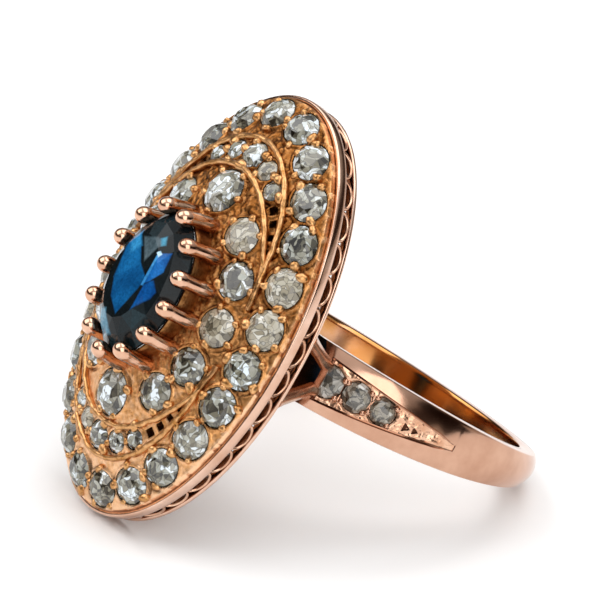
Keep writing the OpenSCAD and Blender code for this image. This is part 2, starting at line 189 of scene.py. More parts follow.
def blank_finish(name):
    """A new material: its nodes, its surface, and the place on the piece."""
    finish = bpy.data.materials.new(name)
    finish.use_nodes = True
    tree = finish.node_tree
    return finish, tree, tree.nodes["Principled BSDF"], add_node(tree, "ShaderNodeTexCoord").outputs["Object"]


def rose_gold(name, tones, cell, relief, sheen, deep="3a1a0c"):
    """Rose gold with a mottled tone and small relief; marks paint light, which lightens or darkens it, and shade,
    which turns it towards deep.
    """
    finish, tree, skin, place = blank_finish(name)
    broad = clouds(tree, place, 1000 / cell, 4, 0.6).outputs["Fac"]
    fine = clouds(tree, place, 2600 / cell, 3).outputs["Fac"]
    # Painted light lightens or darkens the tone where a mark says so, and painted shade turns it towards the deep
    # colour
    level = calc(tree, "ADD", broad, read_mark(tree, "rubbed"))
    whole = add_ramp(tree, level, [(0.32, tones[0]), (0.68, tones[1]), (1, tones[-1])])
    feed(tree, skin, {
        "Metallic": 1,
        "Base Color": mix_colours(tree, read_mark(tree, "cut"), whole, paint(deep)),
        "Roughness": rescale(tree, broad, 0, 1, *sheen),
        "Normal": bumps(tree, fine, relief, 0.00005)})
    return finish


polished_gold = rose_gold("polished_rose_gold", ("bc8f76", "d3a88f", "d2965a"), 2.2, 0.05, (0.08, 0.17), "6b3512")


def shank_z(turn):
    """Height of the hoop's outside at a turn."""
    return -shank_r * math.cos(math.radians(turn))


shoulder_z, recess_tail_z = shank_z(shoulder_turn), shank_z(tail_turn)
recess_top_z = shoulder_z - 0.2
top_turn = math.degrees(math.acos(-recess_top_z / shank_r))


def half_width(z):
    return back_w / 2 + (shoulder_w - back_w) / 2 * (z + shank_r) / (shoulder_z + shank_r)


def recess_width(z):
    """Half the width of the recess."""
    tail, wide = 0.12, half_width(recess_top_z) - 0.6
    return tail + (wide - tail) * np.clip((z - recess_tail_z) / (recess_top_z - recess_tail_z), 0, 1)


def outside(y, turn):
    """The outside's radius at a distance from the middle: bowed, and rounded at the back."""
    bowed = shank_r - crown_r + np.sqrt(crown_r ** 2 - y ** 2)
    back = max(0.0, 1 - (abs(turn) / 92) ** 2)
    return bowed - 0.3 * back * (np.abs(y) / half_width(shank_z(turn))) ** 2.2


def recess_sunk(turn):
    """A shallow tail that deepens towards the stones, to 1."""
    return float(np.clip((abs(turn) - tail_turn) / 9, 0.12, 1))


def recess_bottom(y, turn, sunk):
    return outside(y, turn) + (recess_floor_r + 0.12 - outside(y, turn)) * sunk


side_turns = np.r_[np.linspace(0, tail_turn - 0.1, 100), np.linspace(tail_turn, top_turn - 0.15, 62),
                   top_turn, 142.6, 143.3, shoulder_turn]
turns = np.r_[-side_turns[:0:-1], side_turns]
points, painted_shades, inner = [], [], []
for turn in turns:
    w, rw = half_width(shank_z(turn)), recess_width(shank_z(turn))
    inset = tail_turn <= abs(turn) < top_turn - 0.1
    sunk = recess_sunk(turn) if inset else 0.0
    floor_r = recess_bottom(rw, turn, sunk)
    rim = outside(w - 0.08, turn)
    across = [(finger_r + 0.1, -w), (finger_r + 0.02, -w + 0.04), (finger_r, -w + 0.12)]
    across += [(finger_r, y) for y in np.linspace(-w + 0.3, w - 0.3, 9)]
    across += [(finger_r, w - 0.12), (finger_r + 0.02, w - 0.04), (finger_r + 0.1, w)]
    across += [(rim - 0.4, w), (rim - 0.09, w), (rim - 0.025, w - 0.025), (rim, w - 0.08)]
    # Half of the outside: (from the middle, share of the recess's depth, painted shade)
    step = 0.09 * (min(1, sunk * 1.5) if inset else 1)
    rw = rw if inset else min(rw, w * 0.5)
    half = [(w - 0.16, 0.0, 0), ((w + rw) / 2 + 0.05, 0.0, 0), (rw + step + 0.03, 0.0, 0),
            (rw + step, 0.3 * sunk, 1), (rw + 0.015, 0.34 * sunk, 0.2), (rw, 0.76 * sunk, 0.8)]
    half = [(outside(y, turn) + (recess_floor_r - outside(y, turn)) * (down if inset else 0), y, dark * sunk)
            for y, down, dark in half]
    across += half
    across += [(floor_r if inset else outside(y, turn), y, 0.15 * sunk) for y in np.linspace(rw * 0.8, -rw * 0.8, 9)]
    across += [(r, -y, dark) for r, y, dark in half[::-1]]
    across += [(rim, -w + 0.08), (rim - 0.025, -w + 0.025), (rim - 0.09, -w), (rim - 0.4, -w)]
    for r, y, *dark in across:
        end = math.degrees(math.acos(max(-1, -shoulder_z / r))) - shoulder_turn
        t = math.radians(turn + math.copysign(end * (abs(turn) / shoulder_turn) ** 14, turn))
        points.append((r * math.sin(t), y, -r * math.cos(t)))
        # The recess's walls and floor get painted shade; the inner side is painted lighter, with dark patches of
        # painted reflection
        patch = noise.noise(Vector((turn * 0.045, y * 0.6, 4))) + 0.25
        inner.append(0.5 if r < finger_r + 0.05 and not dark else 0)
        painted_shades.append(dark[0] if dark else max(0.0, inner[-1] * (1.6 * patch - 0.15)))
columns = len(points) // len(turns)
mesh = mesh_of("shank", points, capped(len(turns), columns), {"cut": painted_shades, "rubbed": inner})
add_piece("shank", mesh, polished_gold, ["mount"], 30)

# ---- Recess ground ----------------------------------------------------------
# The floor of each shoulder's recess, left rough by the graver. It rises between
# the stones' seats, and two small three-cornered cuts run out behind the third.

shoulder_ds, stone_gap = [1.5, 1.37, 1.24], 0.08
shoulder_top = math.degrees(math.acos(-recess_top_z / recess_floor_r))


def shoulder_stone_turn(k):
    length = sum(shoulder_ds[:k]) + shoulder_ds[k] / 2 + (k + 1) * stone_gap
    return shoulder_top - math.degrees(length / recess_floor_r)


# Three-cornered cuts: (turn, size, beside the middle)
graver_cuts = [(shoulder_stone_turn(2) - 8.6, 0.18, -0.16), (shoulder_stone_turn(2) - 11.6, 0.13, -0.13)]
ground_turns, ground_columns = np.linspace(tail_turn + 0.4, top_turn - 0.12, 190), 61
mm_per_degree = 0.159
points, faces, painted_shades = [], [], []
for side in (-1, 1):
    first = len(points)
    for turn in ground_turns:
        rw, sunk, a = recess_width(shank_z(turn)), recess_sunk(turn), math.radians(turn)
        low = recess_bottom(rw, turn, sunk)
        for y in np.linspace(-1, 1, ground_columns) * rw:
            near = min(math.hypot(math.radians(turn - shoulder_stone_turn(k)) * 9.1, y) - d / 2 - 0.03
                       for k, d in enumerate(shoulder_ds))
            rise = min(0.14, near) * sunk if near > 0 else -0.1
            lump = (noise.noise(Vector((turn * 0.5, y * 3, side))) * 0.7
                    + noise.noise(Vector((turn * 1.3, y * 8, side))) * 0.25)
            # Painted shade: dark in the gaps round the seats and in the ground's hollows, darkest in the
            # three-cornered cuts
            dark = 0.0
            if abs(near) < 0.05:
                dark = 0.9
            elif near > 0:
                dark = max(0.0, min(0.7, -2.2 * lump - 0.6)) * sunk
            for at, size, beside in graver_cuts:
                t = (turn - at) * mm_per_degree / size
                if -1 < t < 1 and abs(y - beside) < size * (t + 1) * 0.6:
                    dark, rise = 0.95, -0.02
            r = low + 0.02 + rise * (0.8 + 0.6 * lump)
            points.append((side * r * math.sin(a), y, -r * math.cos(a)))
            painted_shades.append(dark)
    strip = weave(len(ground_turns), ground_columns, closed_columns=False)
    faces += [[i + first for i in face] for face in strip]
graved_gold = rose_gold("graved_rose_gold", ("c69070", "e6bb9e"), 0.8, 0.15, (0.16, 0.3))
mesh = mesh_of("recess_ground", points, faces, {"cut": painted_shades})
add_piece("recess_ground", mesh, graved_gold, ["mount"], 60)

# ---- Shoulder stones --------------------------------------------------------
# Three grey rose-cut diamonds on each shoulder, flat below with a low faceted
# top, sunk in the floor of the recess and held by beads raised from the metal.


def ring(n, r, z, shift=0.0, squeeze=1.0):
    t = 2 * np.pi * (np.arange(n) + shift) / n
    return np.c_[r * squeeze * np.cos(t), r * np.sin(t), np.full(n, z)]


def cut_solid(*rings):
    """The convex solid through rings of points, as points and three-sided facets."""
    bm = bmesh.new()
    for p in np.vstack(rings):
        bm.verts.new(p)
    bmesh.ops.convex_hull(bm, input=bm.verts)
    bmesh.ops.triangulate(bm, faces=bm.faces)
    bm.verts.index_update()
    solid = np.array([v.co for v in bm.verts]), [[v.index for v in f.verts] for f in bm.faces]
    bm.free()
    return solid


def rose_cut(d):
    r, edge = d / 2, 0.025 * d
    return cut_solid(ring(6, 0.4 * r, edge + 0.2 * d), ring(6, 0.78 * r, edge + 0.12 * d, 0.5),
                     ring(12, r, edge, 0.5), ring(12, r, -edge, 0.5), ring(12, 0.8 * r, -edge - 0.1 * d, 0.5))


def turned(axis, degrees):
    return np.array(Matrix.Rotation(math.radians(degrees), 3, axis))


def facet_light(points, faces, rng, spread):
    """Painted light for each facet: a brightness from the facet's direction, so facets that share a plane stay close,
    plus a random part.
    """
    tones = []
    for f in faces:
        a, b, c = points[f]
        n = np.cross(b - a, c - a)
        n = n / (np.linalg.norm(n) + 1e-12)
        base = 0.5 + 0.5 * math.sin(9.1 * n[0] + 5.7 * n[1] + 3.3 * n[2] + rng[1])
        tones.append((1 - spread) * base + spread * rng[0].random())
    return tones


def diamond_finish(name, white, warm):
    """Old-cut diamond in painted reflections: a mosaic of bright, grey and dark facets with dark seams, turned beige
    where the warm mark says so.
    """
    finish, tree, skin, place = blank_finish(name)
    wander = {0: clouds(tree, place, 1500, 1).outputs["Color"], 1: [0.0012] * 3, 2: place}
    warped = add_node(tree, "ShaderNodeVectorMath", wander, operation="MULTIPLY_ADD").outputs["Vector"]
    chips, seams = (add_node(tree, "ShaderNodeTexVoronoi", {"Scale": 2900, "Vector": warped}, feature=feature)
                    for feature in ("F1", "DISTANCE_TO_EDGE"))
    chip = add_node(tree, "ShaderNodeSeparateColor", {"Color": chips.outputs["Color"]}).outputs
    both = {"Factor": 0.6, "A": read_mark(tree, "facet"), "B": chip["Red"]}
    level = add_node(tree, "ShaderNodeMix", both).outputs["Result"]
    hue = mix_colours(tree, read_mark(tree, "warm"), add_ramp(tree, level, white), add_ramp(tree, level, warm))
    line = rescale(tree, seams.outputs["Distance"], 0, 0.08, 0.22, 1)
    feed(tree, skin, {
        "Base Color": mix_colours(tree, 1, hue, line, "MULTIPLY"),
        "Roughness": 0.08, "IOR": 1.7, "Coat Weight": 0.25, "Coat Roughness": 0.02,
        "Normal": bumps(tree, chip["Green"], 0.35, 0.00004)})
    return finish


diamond = diamond_finish(
    "old_cut_diamond",
    [(0.16, "15130d"), (0.3, "36332a"), (0.42, "6c6959"), (0.56, "8f8e80"), (0.68, "abb0aa"), (0.77, "e8f3fb")],
    [(0.1, "4a4335"), (0.3, "857c6a"), (0.5, "a39b87"), (0.66, "b1aa97"), (0.8, "c1bbab"), (0.95, "dcd8cd")])
grey_diamond = diamond_finish(
    "grey_rose_cut_diamond",
    [(0.12, "1d1c18"), (0.32, "4d4a44"), (0.5, "716d65"), (0.68, "8d8981"), (0.84, "a9a6a0"), (0.96, "cfd0cf")],
    [(0.12, "2a241b"), (0.32, "5a5144"), (0.5, "7d7363"), (0.66, "928978"), (0.82, "aaa394"), (0.95, "cdc8bc")])


def on_shoulder(side, turn, p):
    """Points above the recess floor at a turn from the shank's back."""
    return (np.asarray(p) + [0, 0, recess_floor_r]) @ turned("Y", side * (180 - turn)).T


for i in range(6):
    k, side = i % 3, 1 if i < 3 else -1
    p, f = rose_cut(shoulder_ds[k])
    p = p @ turned("Z", 23 * i).T
    # Painted reflections: each facet's brightness comes from its direction and chance, and the warm mark gives some
    # stones beige ones
    tones = facet_light(p, f, (np.random.default_rng(400 + i), i), 0.35)
    p = on_shoulder(side, shoulder_stone_turn(k), p * [1.04, 1.1, 1.1] + [0, 0, 0.11])
    mesh = mesh_of("stone", p, f, {"facet": tones, "warm": [0.25 + 0.25 * k] * len(f)})
    add_piece(f"shoulder_stone_{i + 1}", mesh, grey_diamond, [f"shoulder_diamond_{i + 1}"], 1)

# ---- Rim band ---------------------------------------------------------------
# The polished band round the head. It is drawn as one oval hoop with a standing
# lip, and a narrow channel inside the lip parts it from the domed plate.

rim_half = np.array([7.25, 11.05])
arcade_z, band_z, rim_z, edge_z = 10.32, 11.17, 11.51, 11.71
lip_t, channel_w = 0.2, 0.05


def oval(half, t):
    return np.c_[half[0] * np.sin(t), half[1] * np.cos(t)]


def length_along(line):
    """The length from a line's first point to each of its points."""
    return np.r_[0, np.cumsum(np.linalg.norm(np.diff(line, axis=0), axis=1))]


def even_turns(half, n, first=0.0):
    """n turns from the long axis, at even lengths round an oval."""
    t = np.linspace(0, 2 * np.pi, 4001)
    way = length_along(oval(half, t))
    return np.interp((np.arange(n) + first) / n * way[-1], way, t)


def outwards(half, t):
    n = np.c_[half[1] * np.sin(t), half[0] * np.cos(t), np.zeros(len(t))]
    return n / np.linalg.norm(n, axis=1)[:, None]


def oval_hoop(name, half, outline, steps=420, lit_end_shade=1.0):
    """A closed outline of (inset, height, painted shade) drawn round an oval; the painted shade fades towards the
    oval's -y end, where more light falls.
    """
    t = even_turns(half, steps)
    rows = [np.c_[oval(half - inset, t), np.full(steps, z)] for inset, z, _ in outline]
    marks = np.outer([cut for _, _, cut in outline], np.clip(lit_end_shade + 0.5 + np.cos(t), 0.1, 1)).ravel()
    return mesh_of(name, np.vstack(rows), weave(len(rows), steps, closed_rows=True), {"cut": marks})


foot_z = band_z - 0.2
# Painted shade in the channel inside the lip and at the band's foot
band = [(0.1, foot_z, 0.6), (0.03, foot_z + 0.01, 0.2), (0.0, foot_z + 0.06, 0), (-0.01, foot_z + 0.2, 0),
        (-0.01, rim_z - 0.1, 0), (0.0, rim_z - 0.05, 0), (0.025, rim_z - 0.012, 0), (0.055, rim_z, 0),
        (0.14, rim_z, 0), (0.18, rim_z - 0.012, 0), (lip_t, rim_z - 0.03, 0.15), (lip_t, rim_z - 0.11, 0.8),
        (lip_t + 0.01, rim_z - 0.13, 0.9), (lip_t + channel_w, rim_z - 0.13, 1), (0.7, rim_z - 0.2, 0.5),
        (0.72, foot_z, 0.8)]
rim_gold = rose_gold("rim_rose_gold", ("cfa48b", "e6c3ae"), 1.6, 0.08, (0.1, 0.2))
add_piece("rim_band", oval_hoop("rim_band", rim_half, band, lit_end_shade=0.0), rim_gold, ["mount"], 50)

# ---- Pierced gallery --------------------------------------------------------
# Under the band a row of U-shaped scallops, sawn from sheet and rounded over,
# stands on a flat base wire. Each opening and each three-cornered gap between
# two scallops goes right through the wall.

arcade_half = rim_half - 0.15
arcade_t = 0.5
# Painted shade on the wire's inner face
wire = [(0.04, arcade_z, 0), (0.0, arcade_z - 0.04, 0), (-0.01, (wire_z + arcade_z) / 2, 0), (0.0, wire_z + 0.04, 0),
        (0.04, wire_z, 0), (arcade_t - 0.04, wire_z, 0), (arcade_t, wire_z + 0.04, 0.3),
        (arcade_t, arcade_z - 0.04, 0.4), (arcade_t - 0.04, arcade_z, 0.4)]
worn_gold = rose_gold("gallery_rose_gold", ("b58468", "e2bba0"), 0.8, 0.2, (0.14, 0.28))
add_piece("base_wire", oval_hoop("base_wire", arcade_half, wire), rim_gold, ["mount"], 50)


def new_tree(name, **kinds):
    """A Geometry Nodes tree, its inputs' identifiers, and the values that come in."""
    tree = bpy.data.node_groups.new(name, "GeometryNodeTree")
    sockets = {label: tree.interface.new_socket(label, in_out="INPUT", socket_type="NodeSocket" + kind).identifier
               for label, kind in kinds.items()}
    tree.interface.new_socket("Geometry", in_out="OUTPUT", socket_type="NodeSocketGeometry")
    return tree, sockets, tree.nodes.new("NodeGroupInput").outputs


def end_tree(tree, geometry, finish):
    real = add_node(tree, "GeometryNodeRealizeInstances", {"Geometry": geometry}).outputs["Geometry"]
    dressed = add_node(tree, "GeometryNodeSetMaterial", {"Geometry": real, "Material": finish}).outputs["Geometry"]
    add_node(tree, "NodeGroupOutput", {"Geometry": dressed})


def made_by(recipe, mesh, values):
    """What a tree makes of a mesh, as a mesh of its own."""
    tree, sockets = recipe
    carrier = bpy.data.objects.new(mesh.name, mesh)
    bpy.context.scene.collection.objects.link(carrier)
    work = carrier.modifiers.new(tree.name, "NODES")
    work.node_group = tree
    for label, value in values.items():
        work[sockets[label]] = value
    made = bpy.data.meshes.new_from_object(carrier.evaluated_get(bpy.context.evaluated_depsgraph_get()))
    carrier.modifiers.remove(work)
    bpy.data.objects.remove(carrier)
    return made


def setting_tree():
    """Sets one pattern at every point, turned by the point's own directions."""
    tree, sockets, given = new_tree(
        "set_at_points", Places="Geometry", Pattern="Object", Size="Float", Finish="Material")
    up, out, size = (add_node(tree, "GeometryNodeInputNamedAttribute", {"Name": label},
                              data_type="FLOAT_VECTOR").outputs["Attribute"] for label in ("up", "out", "size"))
    stand = add_node(tree, "FunctionNodeAlignRotationToVector", {"Vector": up}, axis="Z").outputs["Rotation"]
    face = add_node(tree, "FunctionNodeAlignRotationToVector", {"Rotation": stand, "Vector": out},
                    axis="X", pivot_axis="Z")
    scale = add_node(tree, "ShaderNodeVectorMath", {0: size, "Scale": given["Size"]}, operation="SCALE")
    setting = add_node(tree, "GeometryNodeInstanceOnPoints", {
        "Points": given["Places"],
        "Instance": add_node(tree, "GeometryNodeObjectInfo", {"Object": given["Pattern"]}).outputs["Geometry"],
        "Rotation": face.outputs["Rotation"],
        "Scale": scale.outputs["Vector"]})
    end_tree(tree, setting.outputs["Instances"], given["Finish"])
    return tree, sockets


set_at_points = setting_tree()


def set_pieces(name, shape, places, ups, outs, sizes, finish, stands_for, sharp=40):
    """The same small shape, in millimetres, at many places of the ring."""
    points, faces, *marks = shape
    pattern = bpy.data.objects.new(
        name + "_pattern", plain_mesh(name + "_pattern", np.asarray(points) / 1000, faces, *marks))
    row = plain_mesh(name + "_places", laid(places),
                     marks={"up": laid(ups) * 1000, "out": laid(outs) * 1000, "size": sizes})
    made = made_by(set_at_points, row, {"Pattern": pattern, "Size": 1.0, "Finish": finish})
    bpy.data.objects.remove(pattern)
    return add_piece(name, made, finish, stands_for, sharp)


def swept_bar(path, inwards, width, depth):
    """A flat bar along a path of (side, height) in the plane of a wall, with painted shade on its inner side."""
    path = np.asarray(path, float)
    way = np.gradient(path, axis=0)
    way /= np.linalg.norm(way, axis=1)[:, None]
    normal = np.c_[-way[:, 1], way[:, 0]]
    w, e = width / 2, 0.3 * width
    section = [(-w, -depth, 1), (w, -depth, 1), (w, -0.15, 0.8), (w, -e, 0.2), (w - e * 0.6, 0, 0), (0, 0.02, 0),
               (-w + e * 0.6, 0, 0), (-w, -e, 0.2), (-w, -0.15, 0.8)]
    made = [(inwards + d, *(p + n * a)) for p, n in zip(path, normal) for a, d, _ in section]
    return made, capped(len(path), len(section)), {"cut": [dark for _ in path for _, _, dark in section]}


n = 36
scallop_t = even_turns(arcade_half, n, 0.5)
pitch = length_along(oval(arcade_half, even_turns(arcade_half, 4001)))[-1] / n
bow = np.radians(np.linspace(0, 180, 15))
arm = pitch / 2 - 0.085
loop = [(-arm, 0.86), (-arm, 0.66)]
loop += [(-arm * math.cos(a) * (0.8 + 0.2 * abs(math.cos(a))), 0.58 - 0.5 * math.sin(a) ** 0.9) for a in bow[1:-1]]
loop += [(arm, 0.66), (arm, 0.86)]
scallop = swept_bar(loop, -0.04, 0.17, arcade_t - 0.08)
set_pieces("gallery_scallops", scallop, np.c_[oval(arcade_half, scallop_t), np.full(n, arcade_z)],
           np.tile([0, 0, 1], (n, 1)), outwards(arcade_half, scallop_t), np.ones((n, 3)),
           worn_gold, ["mount"])

# ---- Struts -----------------------------------------------------------------
# Two short rods in a V on each side, soldered between the shoulder and the base
# wire, carry the head on the shank.


def rod(a, b, r, sides=16):
    a, b = np.asarray(a, float), np.asarray(b, float)
    length = np.linalg.norm(b - a)
    way = (b - a) / length
    side = np.cross(way, [0.3, 0.9, 0.1])
    side /= np.linalg.norm(side)
    t = np.linspace(0, 2 * np.pi, sides, endpoint=False)
    circle = np.outer(np.cos(t), side) + np.outer(np.sin(t), np.cross(way, side))
    waist = ((0, 1.15), (0.15, 1), (0.5, 0.9), (0.85, 1), (1, 1.15))
    rows = [a + way * length * s + circle * r * k for s, k in waist]
    return np.vstack(rows), capped(len(rows), sides)


foot_r, strut_r = 8.9, 0.34
foot_turn = math.radians(shoulder_turn)
points, faces = [], []
for side in (-1, 1):
    for lean in (-1, 1):
        foot = (side * foot_r * math.sin(foot_turn), lean * 0.45, -foot_r * math.cos(foot_turn) - 0.3)
        p, f = rod(foot, (side * (arcade_half[0] - 0.4), lean * 1.65, wire_z + 0.18), strut_r)
        faces += [[i + len(points) for i in face] for face in f]
        points += p.tolist()
# Painted shade: the struts, under the head, are darkened all over
mesh = mesh_of("struts", points, faces, {"cut": [0.15] * len(points)})
add_piece("struts", mesh, worn_gold, ["mount"])

# ---- Domed plate ------------------------------------------------------------
# The head's top is one thick domed plate. Every stone has its own seat cut down
# into it, with a raised edge; the metal between is carved away to a rough
# ground, with a row of four small squares cut in at each end of both crescents.

edge_half = rim_half - (lip_t + channel_w)
dome_top = rim_z + 2.7
dome_drop = dome_top - edge_z
bow_along = (edge_half[1] ** 2 + dome_drop ** 2) / (2 * dome_drop)
bow_across = (edge_half[0] ** 2 + dome_drop ** 2) / (2 * dome_drop)
bow_centre = dome_top - bow_along


def dome_height(x, y, down=0.0):
    bow = np.sqrt((bow_across - down) ** 2 - x ** 2) + bow_along - bow_across
    return bow_centre + np.sqrt(bow ** 2 - y ** 2)


def dome_out(x, y):
    bow = np.sqrt(bow_across ** 2 - x ** 2) + bow_along - bow_across
    n = np.stack([x * bow / np.sqrt(bow_across ** 2 - x ** 2), y, np.sqrt(bow ** 2 - y ** 2)], -1)
    return n / np.linalg.norm(n, axis=-1, keepdims=True)


def on_dome(x, y):
    return np.stack([x, y, dome_height(x, y)], -1)


# Outer row, inner ring and crescents: (across, along, diameter, spin)
outer_d, end_d, inner_ds = 1.72, 1.35, np.array([1.75, 2.2])
outer_half = edge_half - (outer_d / 2 + 0.03)
outer_places = [(*oval(outer_half, np.array([t]))[0], outer_d, 17 * i)
                for i, t in enumerate(even_turns(outer_half, 24, 0.5))]
sapphire_half = np.array([2.55, 3.6])
inner_half = sapphire_half + 0.28 + 0.12 + 0.28 + 0.08 + inner_ds / 2
inner_places = [(*oval(inner_half, np.radians([t]))[0], inner_ds[1 if t % 180 == 0 else 0], 31 + t)
                for q in (0, 180) for t in [q] + [q + 40 + 25 * j for j in range(5)]]
inner_edge = inner_half + inner_ds / 2
outer_edge = outer_half - outer_d / 2
crescent_half = inner_edge + np.array([0.35, 0.42]) * (outer_edge - inner_edge)
quarter = np.linspace(0, 90, 1801)
quarter_way = length_along(oval(crescent_half, np.radians(quarter)))
arm_ds = [1.05, 0.95]
arm_ways = [(end_d + arm_ds[0]) / 2 + 0.2]
arm_ways.append(arm_ways[0] + sum(arm_ds) / 2 + 0.26)
arm_turns = np.interp(arm_ways, quarter_way, quarter)
crescent_places = []
for end in (0, 180):
    for k in (-2, -1, 0, 1, 2):
        turn = end + (0 if k == 0 else math.copysign(arm_turns[abs(k) - 1], k))
        crescent_places.append((*oval(crescent_half, np.radians([turn]))[0],
                                end_d if k == 0 else arm_ds[abs(k) - 1], 12 * k))
stones = outer_places + inner_places + crescent_places
pierce_half, pierce_pitch = 0.21, 0.68
pierce_ways = arm_ways[1] + arm_ds[1] / 2 + pierce_half + 0.36 + pierce_pitch * np.arange(4)
pierce_turns = np.interp(pierce_ways, quarter_way, quarter)


def mottle(x, y, cell, seed):
    """Smooth random height over the plate, from 0 to 1."""
    lattice = np.random.default_rng(seed).random((160, 160))
    u, v = x / cell + 80, y / cell + 80
    i, j = np.floor(u).astype(int) % 159, np.floor(v).astype(int) % 159
    a, b = u - np.floor(u), v - np.floor(v)
    a, b = a * a * (3 - 2 * a), b * b * (3 - 2 * b)
    return (lattice[i, j] * (1 - a) * (1 - b) + lattice[i + 1, j] * a * (1 - b)
            + lattice[i, j + 1] * (1 - a) * b + lattice[i + 1, j + 1] * a * b)


def drawn_out(place):
    """The row's own direction at a stone, and how far the stone is drawn out along it and across."""
    x, y, d, _ = place
    n = dome_out(x, y)
    way = np.array([-y / rim_half[1] ** 2, x / rim_half[0] ** 2, 0])
    way -= (way @ n) * n
    return way / np.linalg.norm(way), {outer_d: 1.13, inner_ds[1]: 1.06}.get(d, 1.07), 1.03


core_half = np.array([2.5, 3.55])
plate_rings, plate_steps = 104, 800
t = even_turns((core_half + edge_half) / 2, plate_steps)
ring_shares = np.linspace(0, 1, plate_rings)
plan = np.vstack([oval(core_half + (edge_half - core_half) * s, t) for s in ring_shares])
plate, up = on_dome(plan[:, 0], plan[:, 1]), dome_out(plan[:, 0], plan[:, 1])
painted_shades, shade, whole = np.zeros(len(plate)), np.zeros(len(plate)), np.ones(len(plate), bool)
edges = np.full(len(plate), 9.0)
for number, place in enumerate(stones):
    x, y, d, _ = place
    centre, n = on_dome(x, y), dome_out(x, y)
    row, along, across = drawn_out(place)
    near = np.flatnonzero(np.linalg.norm(plate - centre, axis=1) < d * along / 2 + 0.5)
    q = plate[near] - centre
    h = q @ n
    flat = q - h[:, None] * n
    far = np.linalg.norm(flat / across + (1 / along - 1 / across) * (flat @ row)[:, None] * row, axis=1)
    seat, edge_w = d / 2 + 0.03, 0.036
    on_edge, inside = np.abs(far - seat) < edge_w, far < seat - edge_w
    flat[on_edge] *= (seat / far[on_edge])[:, None]
    plate[near[on_edge]] = centre + flat[on_edge] + h[on_edge, None] * n
    plate[near[inside]] -= n * (0.3 * d + 0.05)
    # Painted shade: black down in the seat and dark round its edge
    painted_shades[near[inside]] = 1
    painted_shades[near[on_edge]] = np.maximum(painted_shades[near[on_edge]], 0.55)
    edges[near] = np.minimum(edges[near], np.where(inside, 9.0, np.abs(far - seat)))
    whole[near[inside]] = False
    # Deeper graver cuts on one or two sides of each stone: a small dip, darkened with painted shade
    bearing = np.arctan2(flat @ np.cross(n, row), flat @ row)
    notch = np.clip(1.6 * np.sin(2 * bearing + 2.1 * number) - 0.5, 0, 1) * np.exp(-((far - seat - 0.15) / 0.07) ** 2)
    shade[near] = np.maximum(shade[near], np.where(inside | on_edge, 0, notch))
for end, side, k in product((0, 180), (-1, 1), range(4)):
    a = np.radians(end + side * pierce_turns[k])
    x, y = oval(crescent_half, np.array([a]))[0]
    centre, n = on_dome(x, y), dome_out(x, y)
    along = np.array([crescent_half[0] * math.cos(a), -crescent_half[1] * math.sin(a), 0])
    along -= (along @ n) * n
    along /= np.linalg.norm(along)
    beside = np.cross(n, along)
    half, edge_w = pierce_half * (1 - 0.12 * k), 0.034
    near = np.flatnonzero(np.linalg.norm(plate - centre, axis=1) < 0.5)
    q = plate[near] - centre
    a1, a2, h = q @ along, q @ beside, q @ n
    far = np.maximum(np.abs(a1), np.abs(a2))
    on_edge, inside = np.abs(far - half) < edge_w, far < half - edge_w
    grow = np.where(on_edge, half / np.maximum(far, 1e-6), 1)
    moved = centre + (a1 * grow)[:, None] * along + (a2 * grow)[:, None] * beside + h[:, None] * n
    plate[near[on_edge]] = moved[on_edge]
    plate[near[inside]] -= n * 0.42
    # Painted shade: dark inside the square and round its edge
    painted_shades[near[inside]] = 0.8
    painted_shades[near[on_edge]] = np.maximum(painted_shades[near[on_edge]], 0.5)
    whole[near[inside]] = False
between = np.clip((edges - 0.05) / 0.14, 0, 1) * whole
collar = np.exp(-((edges - 0.07) / 0.07) ** 2) * 0.07 * whole
rough = mottle(plan[:, 0], plan[:, 1], 0.17, 5) * 0.6 + mottle(plan[:, 0], plan[:, 1], 0.09, 6) * 0.4
border = np.repeat(np.clip((1 - ring_shares) / 0.03, 0, 1), plate_steps)
# Hands have worn one half of the ground smoother than the other; that half's hollows get less painted shade
worn = 0.62 + 0.38 * np.clip(plan[:, 1] / 5, -1, 1)
plate += up * (collar + between * border * worn * (0.16 * rough - 0.12) - 0.1 * shade * border)[:, None]
edge_shade_and_highlight = np.repeat(np.exp(-((1 - ring_shares) / 0.022) ** 2), plate_steps)
# Painted shade: in the ground's hollows, in the graver cuts, and along the plate's edge by the channel, more towards
# +y
painted_shades = np.max([painted_shades, between * border * worn * np.clip(1.15 - 2.0 * rough, 0, 0.85), 0.8 * shade * border,
               0.12 * edge_shade_and_highlight * np.clip(0.5 + plan[:, 1] / 10.8, 0.05, 1)], axis=0)
# Painted light: lighter towards -y, darker towards +y and +x, with a painted highlight along the plate's edge
rubbed = np.clip(0.09 - plan[:, 1] / 24 - 0.12 * np.clip(plan[:, 0] / 6, 0, 1), -0.16, 0.4) + 0.42 * edge_shade_and_highlight
hollow_half = arcade_half - arcade_t
plate_t, floor = 1.1, np.full(plate_steps, rim_z - 0.26)
under = [np.c_[oval(edge_half, t), floor], np.c_[oval(hollow_half, t), floor]]
for s in np.linspace(0.98, 0, 9):
    p = oval(core_half + (hollow_half - core_half) * s, t)
    under.append(np.c_[p, np.maximum(dome_height(p[:, 0], p[:, 1], plate_t), floor) if s < 0.97 else floor])
plate = np.vstack([plate] + under)
painted_shades, rubbed = (np.r_[marks, np.zeros(len(plate) - len(marks))] for marks in (painted_shades, rubbed))
carved_gold = rose_gold("carved_rose_gold", ("8a5628", "d89c62", "f0c39a"), 0.3, 0.45, (0.26, 0.44), "241208")
faces = weave(len(plate) // plate_steps, plate_steps, closed_rows=True)
mesh = mesh_of("domed_plate", plate, faces, {"cut": painted_shades, "rubbed": rubbed})
add_piece("domed_plate", mesh, carved_gold, ["mount"], 60)

# ---- Crescent ridges --------------------------------------------------------
# Two raised lines of bright-cut metal border each crescent. They part round the
# stone at its top and run together into one line at the ends.


